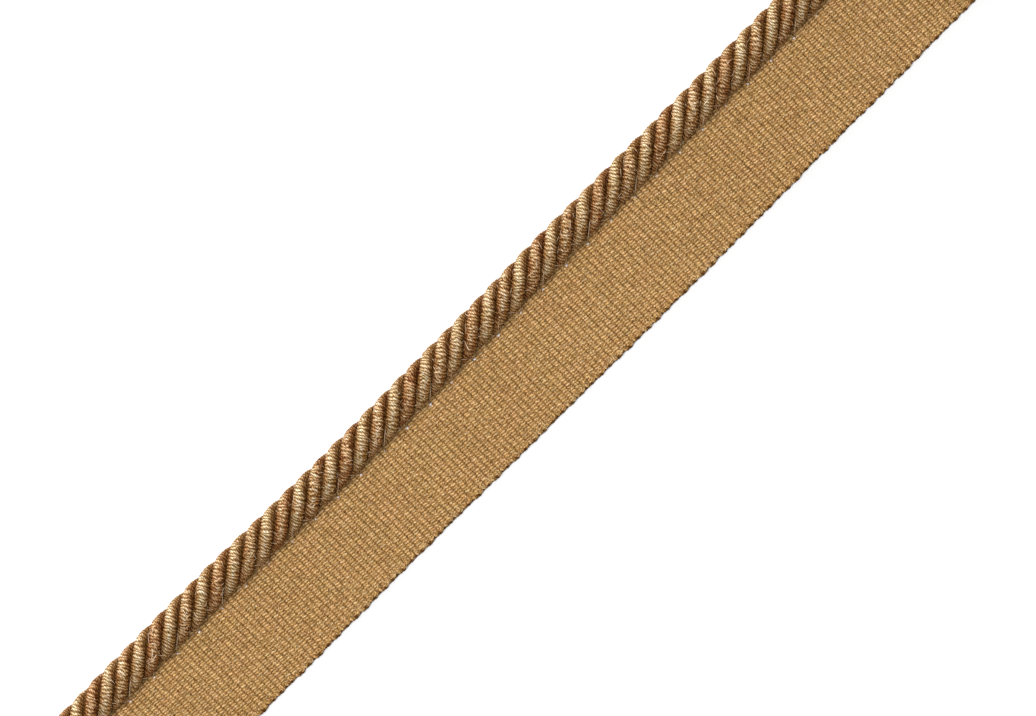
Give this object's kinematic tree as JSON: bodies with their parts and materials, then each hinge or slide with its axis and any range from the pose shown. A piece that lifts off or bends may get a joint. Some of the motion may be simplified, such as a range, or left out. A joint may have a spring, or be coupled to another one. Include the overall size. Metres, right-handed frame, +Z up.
{
  "type": "flanged decorative cord",
  "caption": "Straight cut length of twisted decorative cord sewn along one edge of a flat woven tape, for sewing into a seam as an edging.",
  "frame": {"origin": "middle of the trim's length and width, on the surface that the tape lies on", "axes": "+X along the trim, +Y across it from the tape's selvedge to the cord, +Z up from the surface"},
  "size_m": [0.18, 0.0201, 0.0064],
  "materials": {
    "cord": "gimp-wrapped strands in copper, beige and mixed brown, with a silky sheen",
    "tape": "matt ribbed plain weave, gold-tan"
  },
  "bodies": {
    "root": {"cord": "cord", "tape": "tape"}
  },
  "joints": []
}
